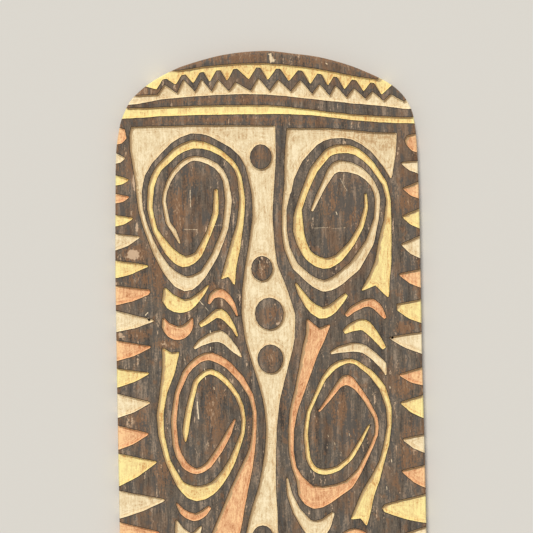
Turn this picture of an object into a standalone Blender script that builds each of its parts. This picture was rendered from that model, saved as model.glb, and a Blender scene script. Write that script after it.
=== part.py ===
"""A war shield hewn from one plank, with a rounded top and spiral eyes cut into its painted face.

The board lies on its back. The carved face looks up, along +Z, and the rounded top points along +Y.
Its origin is under the middle of the board, on the surface that it lies on.
"""
import math

import bmesh
import bpy

# Driving dimensions of the plank, in metres
BOARD_LENGTH = 1.500
BOARD_WIDTH = 0.430
BOARD_THICKNESS = 0.022
FOOT_RISE = 0.050
EDGE_ROUND = 0.005

# The carving, in metres. Strokes are cut a little less deep than the broad fields.
FIELD_DEPTH = 0.0026
STROKE_DEPTH = 0.0023
WALL_SLOPE = 0.0009
SLING_HOLE_DIAMETER = 0.003

# How finely curves are drawn. The lower half is plainer.
TURN_STEP = math.radians(14)
PLAINER_TURN_STEP = math.radians(42)
LONGEST_STEP = 27.0
SHORTEST_STEP = 2.4
CROWN_TURN_STEP = math.radians(7)
LONGEST_SIDE_STEP = 150.0
FOOT_STEPS = 10
EDGE_STEPS = 2
DISC_SIDES = 16
HOLE_SIDES = 8

# Limits that keep outlines sound
RIM_ANGLE = math.radians(50)
WELD_DISTANCE = 0.00001
SAME_PLACE = 0.1
SHARPEST_CORNER = 0.25
WALL_SHARE = 0.3

# The carving is laid out on a grid that stretches with the board: 430 across its width and 1500 down
# its length. A place is (across from the middle line, down from the top).
GRID_WIDTH = 430.0
GRID_LENGTH = 1500.0
PAST_EDGE = 14.0

# The board's edge, as hewn, from the middle of the crown down each side. It is straight below that.
LEFT_EDGE = ((0, 0), (-59, 4.8), (-113.5, 18.8), (-158.8, 40.8), (-187, 64), (-196.5, 80), (-203, 95.5),
             (-207.2, 115), (-210.5, 138), (-212.5, 195), (-215, 350))
RIGHT_EDGE = ((0, 0), (40, 4.4), (80, 11), (120, 22.8), (155, 38), (177, 50.5), (191, 63), (201, 77.5),
              (207, 93), (209.8, 112), (212, 150), (213.5, 230), (213.6, 430), (215, 640))

# The header: a yellow field, a white field and a yellow band. A dark zigzag stands between the fields.
ZIGZAG_PEAKS = (-140.5, -113.5, -88.5, -65, -41, -9, 18.5, 49.5, 76.5, 98.8, 124.5, 150.3, 176)
ZIGZAG_TIPS = (-152, -125.3, -100.5, -77.3, -53, -22.5, 4.2, 33.5, 63.5, 88, 111.5, 138, 163.4)
PEAK_FLAT = 3.0
TIP_LEAN = 2.3
PEAK_LEAN = -0.3
YELLOW_FIELD_LEFT = ((-166, 48.5), (-180, 44))
YELLOW_FIELD_RIGHT = ((164, 30), (192, 46))
YELLOW_FIELD_TOP = ((-160, 36), (-120, 26.5), (-60, 19.7), (0, 18.5), (70, 27), (130, 39.5), (157, 44))
YELLOW_PEAK_LINE = ((-140, 37), (-111, 31), (-65, 26), (-10, 23), (48, 28), (98, 38), (150, 47.5),
                    (176, 52))
YELLOW_TIP_LINE = ((-152, 51.3), (-125, 45), (-76, 42), (-22, 39.6), (4, 40.8), (34, 43.2), (64, 48),
                   (88, 50.3), (112, 56), (138, 59.5), (163, 64.6))
WHITE_PEAK_LINE = ((-139, 45.5), (-112, 38.5), (-87, 39.5), (-63.5, 40), (-39.5, 44.5), (-7.5, 38.5),
                   (20, 42), (50, 43), (75, 48.5), (98.5, 51), (126, 55.5), (152, 61), (177.5, 65.5))
WHITE_TIP_LINE = ((-149, 59.5), (-96, 57), (-20, 57), (37, 59), (89, 66), (140, 71), (170, 75))
WHITE_FIELD_LEFT = ((-205, 66), (-187, 63.5))
WHITE_FIELD_RIGHT = ((193, 75), (196, 72), (222, 84))
WHITE_FIELD_BOTTOM = ((-210, 78), (-150, 66), (-60, 60.5), (0, 61), (90, 72), (170, 81), (222, 89))
YELLOW_BAND_TOP = ((-222, 81), (-140, 77), (0, 77), (60, 84), (120, 92), (222, 99.5))
YELLOW_BAND_BOTTOM = ((-222, 95), (-150, 89), (0, 88.5), (60, 91), (130, 100), (222, 108))
FOOT_BANDS = ((1406, 1420), (1436, 1449))

# The white field: the left panel runs into the spine, which swells round its raised discs
PANEL_TOP_LEFT = (-188, 104)
PANEL_TOP_MIDDLE = (-90, 103.5)
LEFT_PANEL_SIDE = ((-181, 196), (-185, 168), (-190, 135), (-190.5, 115), (-188, 104))
LEFT_PANEL_CURVE = ((-29, 162), (-38, 146), (-50, 134), (-78, 118.5), (-105, 114), (-133, 127), (-160, 154),
                    (-171, 172), (-176, 196))
SPINE_NECK = ((106, 13, None), (150, 12.6, None), (200, 8.8, -21), (232, 6.8, -20.2))
SPINE_LOBE = ((300, 12.5, -31.5), (334, 25, -36.5), (370, 36, -38), (404, 34.5, -33.5), (446, 24, -22),
              (488, 13, -10.5), (530, 7.3, -6.6))
SPINE_WAIST = ((565, 5.6, -9.5), (590, 4.8, -14), (612, 4.6, -18.8), (640, 6, -28.5))
SPINE_FOOT = (1386, 14, -24)
LOBES = ((0, 0), (377, -6), (683, 0))
LOBE_DISCS = ((-8.9, 305, 15.9, 18.3), (0.3, 368.3, 20.9, 23.4), (0.5, 431.8, 18.9, 21))
NECK_DISC = (-7.8, 148.8, 16, 18.3)
DISC_REACH = 1.5

# The right panel
RIGHT_PANEL_TOP = ((30, 110), (100, 112), (150, 118), (183, 119))
RIGHT_PANEL_SIDE = ((183, 119), (180.5, 150), (174, 183))
RIGHT_PANEL_CURVE = ((174, 183), (163, 164), (145, 142), (120, 126.5), (92, 124.5), (70, 134), (50, 156),
                     (38, 180), (33.5, 200))
RIGHT_PANEL_RETURN = ((25, 200), (26, 155), (28, 130), (30, 110))

# The spiral arms of the eyes. A key is (across, down, width of the cut).
# A fork is the swallow tail of an arm: one tip, the notch and the other tip.
ARMS = (
    {"name": "upper_left_white", "fork": (), "free_from": 2,
     "keys": ((-180, 186, 7), (-177, 220, 5.5), (-164, 262, 6.5), (-144, 302, 11), (-116, 324.5, 20),
              (-90, 309.5, 9), (-73.5, 283, 8), (-59, 247, 7.5), (-53.8, 208, 8.3), (-58, 180, 6.5),
              (-71, 160, 6.5), (-101, 149, 5.5), (-121, 159.5, 6.4), (-137, 181, 4.6), (-144.5, 209, 4.2),
              (-139.5, 238, 5), (-131, 251, 5.5), (-123.5, 267, 0))},
    {"name": "upper_left_yellow", "fork": ((-66.5, 319), (-56.5, 315), (-47.5, 328)),
     "keys": ((-53.5, 303, 16), (-46, 275, 13.5), (-38.5, 243, 8.5), (-34.8, 208, 6.5), (-38, 176, 5),
              (-50, 154, 5.5), (-75, 136, 7), (-103, 129.5, 10.5), (-128, 141, 9.5), (-150, 161.5, 8),
              (-162, 188, 7.5), (-164.3, 218, 6.3), (-157.5, 249, 6.2), (-139.5, 277, 11.5),
              (-118, 293.5, 14.5), (-97, 283, 9), (-82.5, 255, 6.3), (-72.3, 226, 7.3), (-71.3, 193, 4.5))},
    {"name": "upper_right_white", "fork": (), "free_from": 1,
     "keys": ((29.3, 186, 8.5), (27.3, 203, 8.6), (24, 222, 5.8), (23.3, 250, 6), (26.5, 277, 6.8),
              (37.5, 302.5, 9), (55, 319, 10), (77, 331, 15), (99, 322, 15.5), (121, 304, 15),
              (142, 272, 11), (152.5, 238, 6), (154.7, 212, 6.5), (148.5, 190, 6.5),
              (130, 171, 10.5), (102, 163.5, 15), (90, 172, 10.5), (79.5, 190, 6.5), (71, 207, 5.5),
              (62.5, 226, 2.5))},
    {"name": "upper_right_yellow", "fork": ((129.5, 339), (149.5, 331), (167.5, 349)),
     "keys": ((155.5, 320, 28), (161, 298, 21.5), (164.3, 268, 16.5), (168.3, 240, 9.2), (169.8, 212, 5),
              (164.5, 189, 5.8), (147.5, 163, 7), (126, 144, 9), (103, 139.5, 11), (85, 146, 10.2),
              (66.5, 168, 9.8), (51.5, 201, 8), (44.5, 222, 7.8), (42.9, 234, 11), (43, 252, 14),
              (54, 285, 11.5), (78, 299.5, 14), (99, 292, 10.5), (118, 271, 7.5), (131, 248.5, 6),
              (138.2, 222, 4.6), (138, 203.5, 1.8))},
    {"name": "lower_left_yellow", "fork": ((-150.5, 413.5), (-138, 421), (-127, 420)),
     "keys": ((-140, 430, 20.5), (-142, 445, 17.5), (-150.3, 478, 9), (-155.3, 508, 8.3), (-153.5, 537, 7),
              (-145, 573.5, 6.3), (-129, 604.5, 9.6), (-106, 618.5, 20), (-79, 607, 13), (-54.8, 572, 8.2),
              (-40, 535, 4.4), (-41, 498, 4.8), (-57, 468, 5.5), (-83.5, 448, 6.3), (-105, 464, 6.3),
              (-114.5, 499, 7.2), (-120, 532, 7.5), (-120.3, 544.5, 0))},
    {"name": "lower_left_orange", "fork": ((-101.5, 706), (-81.5, 700), (-45, 714)),
     "keys": ((-68, 684, 39), (-56.7, 648, 31), (-46.5, 615, 23.3), (-34, 580, 14), (-26.7, 556, 7),
              (-23.5, 530, 4.6), (-22.8, 505, 4.4), (-28, 482, 5.6), (-41, 459, 7.8), (-59, 439.5, 9),
              (-82, 427, 10), (-101, 431.5, 8.2), (-119, 450, 7.5), (-131, 479, 5.4), (-136.4, 515, 6.7),
              (-134.5, 549, 7), (-123, 577, 8.2), (-105.5, 587, 7.2), (-88.3, 578, 7.6), (-74, 559.5, 8),
              (-59.5, 534, 6.6), (-51, 516, 0))},
    {"name": "lower_right_orange", "fork": ((52.5, 376.5), (69, 391), (85.4, 385)),
     "keys": ((64, 402, 26.5), (57.2, 420, 22.5), (50, 445, 18), (40.3, 478, 12.7), (32.3, 503, 10),
              (28, 530, 7), (27.4, 562, 5.6), (31.5, 585, 5.4), (38.5, 600, 9), (46.5, 617, 23),
              (59.5, 626.5, 31), (75, 624, 24.5), (92.5, 617, 16.5), (107.5, 609, 12), (122, 591, 6),
              (135, 567.5, 4), (146.5, 541, 3.7), (146.5, 517, 4.2), (134, 492.5, 5.6), (121, 474.5, 6.8),
              (107.5, 463.5, 13.5), (94, 471.8, 6.8), (81.5, 488.5, 4.8), (68, 506, 0))},
    {"name": "lower_right_yellow", "fork": ((109, 658.3), (122.5, 656.8), (131, 667.5)),
     "keys": ((126, 646, 21.5), (134.3, 622, 16.5), (145, 600, 11.5), (154.3, 577, 5.8), (161, 554, 6.2),
              (165.3, 528, 4.7), (165, 503, 6.4), (156.5, 475, 8), (139.5, 453, 6.6), (122, 440, 4.7),
              (106, 436.8, 5.4), (87.5, 445.8, 7.4), (75, 460, 5.6), (64, 483, 4.4), (52.5, 508, 4.2),
              (48, 540, 4.8), (51, 571, 5), (60, 587.5, 5.5), (75, 591.3, 7), (93, 586.5, 6),
              (110, 572.5, 5.2), (124, 551, 4.3), (136.8, 527.5, 0))},
)

# Small crescents and arches between the eyes, with keys as above
ACCENTS = {
    "left_yellow_crescent": ((-145.5, 330.5, 2), (-141.5, 344, 17), (-129, 354, 20), (-113.5, 354.5, 14.5),
                             (-100.5, 345, 9), (-92, 336.5, 5.5), (-85, 328, 0)),
    "left_orange_crescent": ((-148, 373, 1.5), (-145.5, 382, 10.5), (-137.5, 390, 17), (-127.5, 393.5, 18.5),
                             (-117, 389, 15), (-110.5, 380.5, 8.5), (-108, 373.5, 0)),
    "left_orange_arch": ((-84.5, 353, 3), (-80, 343.5, 7.5), (-69.5, 338, 11.5), (-58.5, 344, 8.5),
                         (-50.5, 355.5, 6), (-45, 370, 0)),
    "left_yellow_arch": ((-97, 383, 5.5), (-88, 377.5, 7), (-77.5, 369.5, 9), (-69, 366.5, 12),
                         (-59.5, 374, 9), (-51.5, 385.5, 5.5), (-45.3, 398.5, 0)),
    "left_white_arch": ((-106, 415, 2.5), (-97.5, 408, 8), (-84, 401.5, 12), (-70, 398.5, 15.5),
                        (-59, 406.5, 11), (-49.5, 417, 8.5), (-40.5, 428, 0)),
    "right_yellow_crescent": ((38, 327, 0), (43.5, 338.5, 6.5), (54, 354.5, 10), (72.5, 369, 15),
                              (90, 362, 12), (102, 350.5, 8.5), (108.5, 343.5, 4.5)),
    "right_orange_arch": ((107.5, 373, 5), (117, 364.5, 8), (131, 357.3, 9), (145, 356.5, 10.5),
                          (155, 366, 9), (162.5, 377.5, 3)),
    "right_yellow_arch": ((104.5, 396, 5), (113, 390.5, 10), (125, 386.5, 14), (136, 388.5, 14),
                          (147, 401, 11), (160, 419.5, 5)),
    "right_white_arch": ((85, 425.5, 3), (97, 420.5, 8), (115, 417.5, 11.5), (132, 420.8, 10.5),
                         (146, 431, 9.5), (158, 443, 10), (161.8, 456, 0)),
}
LOWER_ACCENTS = {
    "low_left_orange_crescent": ((-134, 632, 0), (-127, 643, 7), (-110, 651.8, 9.5), (-96, 645.5, 8),
                                 (-88, 637.5, 4.5)),
    "low_left_white_crescent": ((-135, 656, 0), (-131.5, 669, 12), (-119, 681, 16), (-107, 676.5, 8),
                                (-101, 665, 0)),
    "low_left_yellow_crescent": ((-150, 703, 0), (-143, 720, 10), (-127, 730, 15), (-112, 725, 9),
                                 (-104, 715, 0)),
    "low_left_orange_arch": ((-97, 752, 4), (-86, 744, 8), (-69, 738.5, 12), (-56, 748, 9), (-46, 768, 0)),
    "low_left_white_arch": ((-106, 785, 3), (-93, 774, 9), (-70, 768, 14), (-56, 779, 10), (-42, 800, 0)),
    "low_right_white_crescent": ((21, 599.5, 0), (24.3, 622, 6.5), (33.5, 645, 10), (47, 664, 16),
                                 (61, 672, 26), (75, 662.5, 15), (85, 648.5, 3)),
    "low_right_orange_arch": ((92, 689, 4), (101, 680, 8), (113, 676.5, 9), (126, 681, 9), (143, 695, 3)),
    "low_right_yellow_arch": ((84, 716, 4), (97, 706, 9), (112, 703, 12), (127, 708, 10), (148, 724, 3)),
    "low_right_white_arch": ((72, 745, 3), (88, 734, 9), (108, 730.5, 12), (128, 736, 10), (152, 755, 0)),
    "low_right_orange_crescent": ((60, 760, 0), (68, 776, 8), (88, 787, 14), (108, 781, 9), (118, 768, 0)),
}
EYE_REPEAT = 683.0

# The teeth along both edges: top and bottom of the base, then the tip's place across and down
LEFT_TEETH = (
    (103.5, 129, -197, 113), (137, 155.5, -197.5, 147.3), (169, 185.5, -192.5, 177.3),
    (195.5, 211, -192.5, 201.8), (225.5, 243.5, -187.5, 231.5), (252.5, 278, -178, 257.5),
    (289.5, 316, -167.5, 298.5), (325.5, 353.5, -164, 335), (359.5, 391, -160.5, 375.3),
    (401.5, 432, -165.5, 412), (441.5, 469.5, -169, 448.8), (475.5, 512, -168, 490), (520, 557, -171, 533.5),
    (560, 609, -160.5, 573), (612, 653, -149.5, 626.5), (655.5, 692, -158, 672),
)
RIGHT_TEETH = (
    (119.5, 148, 194, 130), (158.5, 178, 187.5, 160.5), (185.5, 213.5, 190, 196.5),
    (222.5, 255.5, 188.5, 236), (261, 297.5, 186.5, 275), (309.5, 338.5, 182, 316.5),
    (352, 387.5, 178, 362), (398, 430.5, 166.5, 405), (446, 474.5, 179.5, 457.5), (485, 521.5, 181, 496.5),
    (541, 569.5, 183, 547.5), (584, 619.5, 181, 592), (624.5, 666, 153, 643.5), (669, 706, 172, 684),
)
# Teeth with a cut-off or crooked tip: the corners of their ends, from the upper corner down
BLUNT_ENDS = {
    "left_tooth_1": ((-198, 107.5), (-195.8, 119.5)),
    "left_tooth_8": ((-167.5, 332.3), (-166, 335), (-168.5, 338.5)),
    "right_tooth_1": ((197.5, 123.5), (194.6, 130), (197.5, 136.5)),
    "right_tooth_7": ((179, 358.8), (179, 366.5)),
    "right_tooth_13": ((158, 638.5), (153, 643.5), (157, 648.7)),
}
# How far the lower side of a listed tooth bulges, and the even teeth below the listed ones
TOOTH_BELLY = 1.6
TOOTH_PITCH = 43.0
TOOTH_BASE = 36.0
TOOTH_REACH = 34.0
TOOTH_DROP = 14.0
LAST_TOOTH = 1395.0
SLING_HOLES = ((-168.5, 374), (172, 405))

# Dark stained hardwood
WOOD_COLOUR = (0.105, 0.070, 0.047, 1)
WOOD_ROUGHNESS = 0.75


def clear_scene():
    """Start from an empty scene."""
    for thing in list(bpy.data.objects):
        bpy.data.objects.remove(thing, do_unlink=True)


def new_collection(name):
    """A collection of its own under the scene's."""
    collection = bpy.data.collections.new(name)
    bpy.context.scene.collection.children.link(collection)
    return collection


def smooth(keys, turn_step=TURN_STEP, longest_step=LONGEST_STEP):
    """A smooth curve through the keys, drawn as fine as it bends. Widths follow along with places."""
    slopes = []
    for index, key in enumerate(keys):
        before = keys[max(index - 1, 0)]
        after = keys[min(index + 1, len(keys) - 1)]
        run = math.dist(before[:2], key[:2]) + math.dist(key[:2], after[:2])
        slopes.append([(b - a) / run for a, b in zip(before, after)])
    points = []
    for start, end, leave, arrive in zip(keys, keys[1:], slopes, slopes[1:]):
        run = math.dist(start[:2], end[:2])
        turn = abs(math.atan2(leave[0] * arrive[1] - leave[1] * arrive[0],
                              leave[0] * arrive[0] + leave[1] * arrive[1]))
        count = max(1, round(turn / turn_step), round(run / longest_step))
        for step in range(count):
            t = step / count
            at_end = 3 * t ** 2 - 2 * t ** 3
            leaving = (t ** 3 - 2 * t ** 2 + t) * run
            arriving = (t ** 3 - t ** 2) * run
            points.append(tuple((1 - at_end) * a + at_end * b + leaving * m + arriving * n
                                for a, b, m, n in zip(start, end, leave, arrive)))
    points.append(tuple(keys[-1]))
    return points


def level(line, across):
    """How far down a border line is at a place across the board."""
    for start, end in zip(line, line[1:]):
        if across <= end[0]:
            break
    share = (across - start[0]) / (end[0] - start[0])
    return start[1] + share * (end[1] - start[1])


def unfolded(side, headings):
    """A side of a stroke without the points that crowd or fold back inside a tight bend."""
    kept = [side[0]]
    for point, heading in zip(side[1:-1], headings[1:-1]):
        ahead = (point[0] - kept[-1][0]) * heading[0] + (point[1] - kept[-1][1]) * heading[1]
        if ahead > SHORTEST_STEP:
            kept.append(point)
    kept.append(side[-1])
    return kept


def stroke(keys, fork=(), turn_step=TURN_STEP):
    """The outline of one knife stroke, as (across, down, room), with a swallow tail where it has one."""
    line = smooth(keys, turn_step)
    headings = []
    for before, after in zip([line[0], *line[:-1]], [*line[1:], line[-1]]):
        run = math.dist(before[:2], after[:2])
        headings.append(((after[0] - before[0]) / run, (after[1] - before[1]) / run))
    sides = []
    for hand in (1, -1):
        side = [(across - hand * heading[1] * width / 2, down + hand * heading[0] * width / 2, width)
                for (across, down, width), heading in zip(line, headings)]
        sides.append(unfolded(side, headings))
    left, right = sides
    tail = [(across, down, keys[0][2] / 2) for across, down in fork]
    if tail and math.dist(tail[0][:2], left[0][:2]) < math.dist(tail[0][:2], right[0][:2]):
        tail.reverse()
    if line[-1][2] == 0:
        right.pop()
    if line[0][2] == 0:
        right.pop(0)
    return left + right[::-1] + tail


def field(*sides):
    """The outline of a broad field, joined from its sides, with room for a full wall all round."""
    outline = []
    for side in sides:
        for across, down in side:
            if not outline or math.dist(outline[-1][:2], (across, down)) > SAME_PLACE:
                outline.append((across, down, GRID_WIDTH))
    if math.dist(outline[0][:2], outline[-1][:2]) < SAME_PLACE:
        outline.pop()
    return outline


def ring(outline, shift):
    """The outline moved inwards by shift, or by less where there is little room."""
    count = len(outline)
    area = sum(outline[i - 1][0] * outline[i][1] - outline[i][0] * outline[i - 1][1] for i in range(count))
    hand = 1 if area > 0 else -1
    moved = []
    for index in range(count):
        before = outline[index - 1]
        across, down, room = outline[index]
        after = outline[(index + 1) % count]
        normals = []
        for start, end in ((before, outline[index]), (outline[index], after)):
            run = math.dist(start[:2], end[:2])
            normals.append((-hand * (end[1] - start[1]) / run, hand * (end[0] - start[0]) / run))
        spread = max(SHARPEST_CORNER, 1 + normals[0][0] * normals[1][0] + normals[0][1] * normals[1][1])
        reach = min(shift, WALL_SHARE * room) / spread
        moved.append((across + reach * (normals[0][0] + normals[1][0]),
                      down + reach * (normals[0][1] + normals[1][1])))
    return moved


def on_board(place):
    """Where a place on the grid is on the board, in metres."""
    across, down = place
    return across * BOARD_WIDTH / GRID_WIDTH, BOARD_LENGTH / 2 - down * BOARD_LENGTH / GRID_LENGTH


def header_fields():
    """The yellow field, the white field and the yellow band under the rounded top."""
    yellow_zigzag = []
    white_zigzag = []
    for peak, tip in zip(ZIGZAG_PEAKS, ZIGZAG_TIPS):
        yellow_zigzag.append((tip, level(YELLOW_TIP_LINE, tip)))
        for side in (peak - PEAK_FLAT, peak + PEAK_FLAT):
            yellow_zigzag.append((side, level(YELLOW_PEAK_LINE, side)))
        white_zigzag.append((tip + TIP_LEAN, level(WHITE_TIP_LINE, tip + TIP_LEAN)))
        white_zigzag.append((peak + PEAK_LEAN, level(WHITE_PEAK_LINE, peak + PEAK_LEAN)))
    return {
        "header_yellow_field": field(smooth(YELLOW_FIELD_TOP), YELLOW_FIELD_RIGHT, yellow_zigzag[::-1],
                                     YELLOW_FIELD_LEFT),
        "header_white_field": field(WHITE_FIELD_LEFT, white_zigzag, WHITE_FIELD_RIGHT,
                                    smooth(WHITE_FIELD_BOTTOM)[::-1]),
        "header_yellow_band": field(smooth(YELLOW_BAND_TOP), smooth(YELLOW_BAND_BOTTOM)[::-1]),
    }


def foot_fields():
    """Two plain bands across the foot."""
    half = GRID_WIDTH / 2 + PAST_EDGE
    bands = {}
    for number, (top, bottom) in enumerate(FOOT_BANDS, start=1):
        bands[f"foot_band_{number}"] = field([(-half, top), (half, top), (half, bottom), (-half, bottom)])
    return bands


def spine_keys():
    """The spine's right and left edges from the neck to the foot, as (across, down)."""
    rows = list(SPINE_NECK)
    for lower, drift in LOBES:
        for down, right, left in SPINE_LOBE:
            rows.append((down + lower, right + drift, left + drift))
        if not lower:
            rows.extend(SPINE_WAIST)
    rows.append(SPINE_FOOT)
    right_side = [(right, down) for down, right, left in rows]
    left_side = [(left, down) for down, right, left in rows if left is not None]
    return right_side, left_side


def panel_fields():
    """The white field with the left panel and the spine in one, and the right panel."""
    right_side, left_side = spine_keys()
    left_side = [LEFT_PANEL_CURVE[0], *left_side]
    top = [PANEL_TOP_LEFT, PANEL_TOP_MIDDLE]
    curve = smooth(LEFT_PANEL_CURVE)
    spine = field(top, smooth(right_side), smooth(left_side[::-1]), curve, smooth(LEFT_PANEL_SIDE))
    right_panel = field(smooth(RIGHT_PANEL_TOP), smooth(RIGHT_PANEL_SIDE), smooth(RIGHT_PANEL_CURVE),
                        smooth(RIGHT_PANEL_RETURN))
    return {"spine_and_left_panel": spine, "right_panel": right_panel}


def spine_discs():
    """The raised discs along the spine, as (across, down, radius across, radius down)."""
    discs = [NECK_DISC]
    for lower, drift in LOBES:
        for across, down, half_width, half_length in LOBE_DISCS:
            discs.append((across + drift, down + lower, half_width, half_length))
    return discs


def shifted(keys, down):
    """The same keys further down the board."""
    return tuple((key[0], key[1] + down, *key[2:]) for key in keys)


def arm_strokes():
    """The arms of the upper pairs of eyes, and of the pairs that repeat them further down."""
    strokes = {}
    for arm in ARMS:
        strokes[arm["name"]] = stroke(arm["keys"], arm["fork"])
        free = arm["keys"]
        if not arm["fork"]:
            free = ((*free[arm["free_from"]][:2], 0), *free[arm["free_from"] + 1:])
        fork = shifted(arm["fork"], EYE_REPEAT)
        strokes[f"{arm['name']}_again"] = stroke(shifted(free, EYE_REPEAT), fork, PLAINER_TURN_STEP)
    return strokes


def accent_strokes():
    """The crescents and arches between the pairs of eyes."""
    strokes = {}
    for name, keys in ACCENTS.items():
        strokes[name] = stroke(keys)
        strokes[f"{name}_again"] = stroke(shifted(keys, EYE_REPEAT), turn_step=PLAINER_TURN_STEP)
    for name, keys in LOWER_ACCENTS.items():
        strokes[name] = stroke(keys)
    return strokes


def board_edge():
    """The board's edge on the grid, from the foot up the left side, over the crown and down the right."""
    crown = smooth((*LEFT_EDGE[::-1], *RIGHT_EDGE[1:]), CROWN_TURN_STEP, LONGEST_SIDE_STEP)
    foot_start = GRID_LENGTH - FOOT_RISE * GRID_LENGTH / BOARD_LENGTH
    return [(crown[0][0], foot_start), *crown, (crown[-1][0], foot_start)]


def edge_at(edge, down, hand):
    """How far across the board's left or right edge is, at a place down its length."""
    side = [(height, across) for across, height in edge if across * hand > 0]
    return level(side[::hand], down)


def board_outline():
    """The board's outline on the grid: its edge, and an elliptic corner at each side of the foot."""
    edge = board_edge()
    corners = []
    for across, down in (edge[-1], edge[0]):
        corners.append([(across * math.cos(math.pi / 2 * step / FOOT_STEPS),
                         down + (GRID_LENGTH - down) * math.sin(math.pi / 2 * step / FOOT_STEPS))
                        for step in range(1, FOOT_STEPS)])
    right, left = corners
    return [*edge, *right, (0, GRID_LENGTH), *left[::-1]]


def tooth(edge, top, bottom, point, belly):
    """One side tooth, which runs out through the board's edge. Its lower side may bulge a little."""
    hand = 1 if point[0][0] > 0 else -1
    upper = edge_at(edge, top, hand)
    lower = edge_at(edge, bottom, hand)
    bulge = []
    if belly:
        bulge = [((point[-1][0] + lower) / 2, (point[-1][1] + bottom) / 2 + belly)]
    past = hand * PAST_EDGE
    side = [(upper, top), *point, *bulge, (lower, bottom)]
    return field([(upper + past, top), *side, (lower + past, bottom)])


def side_teeth():
    """The teeth along both edges: the upper ones as listed, and an even, plainer run below them."""
    edge = board_edge()
    teeth = {}
    for side, hand, listed in (("left", -1, LEFT_TEETH), ("right", 1, RIGHT_TEETH)):
        rows = list(listed)
        top = rows[-1][0] + TOOTH_PITCH
        while top + TOOTH_BASE < LAST_TOOTH:
            tip_across = hand * (GRID_WIDTH / 2 - TOOTH_REACH)
            rows.append((top, top + TOOTH_BASE, tip_across, top + TOOTH_DROP))
            top += TOOTH_PITCH
        for number, (top, bottom, *tip) in enumerate(rows, start=1):
            name = f"{side}_tooth_{number}"
            belly = TOOTH_BELLY if number <= len(listed) else 0
            teeth[name] = tooth(edge, top, bottom, BLUNT_ENDS.get(name, (tip,)), belly)
    return teeth


def link(name, mesh, collection):
    """A new object in its collection."""
    thing = bpy.data.objects.new(name, mesh)
    collection.objects.link(thing)
    return thing


def hide_guide(thing):
    """Show a cutter as a wire guide only."""
    thing.hide_render = True
    thing.display_type = "WIRE"


def make_plank(collection):
    """The plain board: its flat outline filled as a 2D curve, given its thickness and rounded at the rim."""
    curve = bpy.data.curves.new("board_outline", "CURVE")
    curve.dimensions = "2D"
    curve.fill_mode = "BOTH"
    curve.extrude = BOARD_THICKNESS / 2
    outline = board_outline()
    spline = curve.splines.new("POLY")
    spline.points.add(len(outline) - 1)
    for point, place in zip(spline.points, outline):
        point.co = (*on_board(place), 0, 1)
    spline.use_cyclic_u = True
    flat = link("board_outline", curve, collection)
    bpy.context.view_layer.update()
    depsgraph = bpy.context.evaluated_depsgraph_get()
    mesh = bpy.data.meshes.new_from_object(flat.evaluated_get(depsgraph))
    bpy.data.objects.remove(flat)
    shape = bmesh.new()
    shape.from_mesh(mesh)
    bmesh.ops.remove_doubles(shape, verts=shape.verts, dist=WELD_DISTANCE)
    bmesh.ops.translate(shape, verts=shape.verts, vec=(0, 0, BOARD_THICKNESS / 2))
    bmesh.ops.recalc_face_normals(shape, faces=shape.faces)
    shape.to_mesh(mesh)
    shape.free()
    plank = link("carved_board", mesh, collection)
    rim = plank.modifiers.new("rounded_rim", "BEVEL")
    rim.width = EDGE_ROUND
    rim.segments = EDGE_STEPS
    rim.limit_method = "ANGLE"
    rim.angle_limit = RIM_ANGLE
    return plank


def loft(name, lower, upper, bottom, top, collection):
    """A closed block between two rings of as many points, one at each height."""
    shape = bmesh.new()
    rings = []
    for places, height in ((lower, bottom), (upper, top)):
        rings.append([shape.verts.new((*on_board(place), height)) for place in places])
    shape.faces.new(rings[0])
    shape.faces.new(rings[1][::-1])
    count = len(lower)
    for index in range(count):
        after = (index + 1) % count
        shape.faces.new((rings[0][index], rings[0][after], rings[1][after], rings[1][index]))
    bmesh.ops.recalc_face_normals(shape, faces=shape.faces)
    mesh = bpy.data.meshes.new(name)
    shape.to_mesh(mesh)
    shape.free()
    cutter = link(name, mesh, collection)
    hide_guide(cutter)
    return cutter


def make_recess(name, outline, depth, collection):
    """The cutter of one recess: at the board's face it has the drawn outline, and its walls slope in."""
    slope = WALL_SLOPE * GRID_WIDTH / BOARD_WIDTH
    return loft(name, ring(outline, slope), ring(outline, -slope), BOARD_THICKNESS - depth,
                BOARD_THICKNESS + depth, collection)


def make_disc(number, disc, collection):
    """A raised disc on the spine: a slightly tapered stub that the spine's cutter leaves standing."""
    across, down, half_width, half_length = disc
    slope = WALL_SLOPE * GRID_WIDTH / BOARD_WIDTH
    rings = []
    for grow in (slope, -slope):
        rings.append([(across + (half_width + grow) * math.cos(2 * math.pi * side / DISC_SIDES),
                       down + (half_length + grow) * math.sin(2 * math.pi * side / DISC_SIDES))
                      for side in range(DISC_SIDES)])
    return loft(f"disc_{number}", rings[0], rings[1], BOARD_THICKNESS - FIELD_DEPTH * DISC_REACH,
                BOARD_THICKNESS + FIELD_DEPTH * DISC_REACH, collection)


def make_hole(number, place, collection):
    """A small hole drilled right through, at the tip of a side tooth."""
    across, along = on_board(place)
    middle = (across, along, BOARD_THICKNESS / 2)
    bpy.ops.mesh.primitive_cylinder_add(vertices=HOLE_SIDES, radius=SLING_HOLE_DIAMETER / 2,
                                        depth=BOARD_THICKNESS * 2, location=middle)
    drill = bpy.context.object
    drill.name = f"sling_drill_{number}"
    for owner in list(drill.users_collection):
        owner.objects.unlink(drill)
    collection.objects.link(drill)
    hide_guide(drill)
    return drill


def cut_with(thing, collection, name):
    """Take a whole collection of cutters out of an object."""
    cut = thing.modifiers.new(name, "BOOLEAN")
    cut.operation = "DIFFERENCE"
    cut.solver = "EXACT"
    cut.operand_type = "COLLECTION"
    cut.collection = collection


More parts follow.
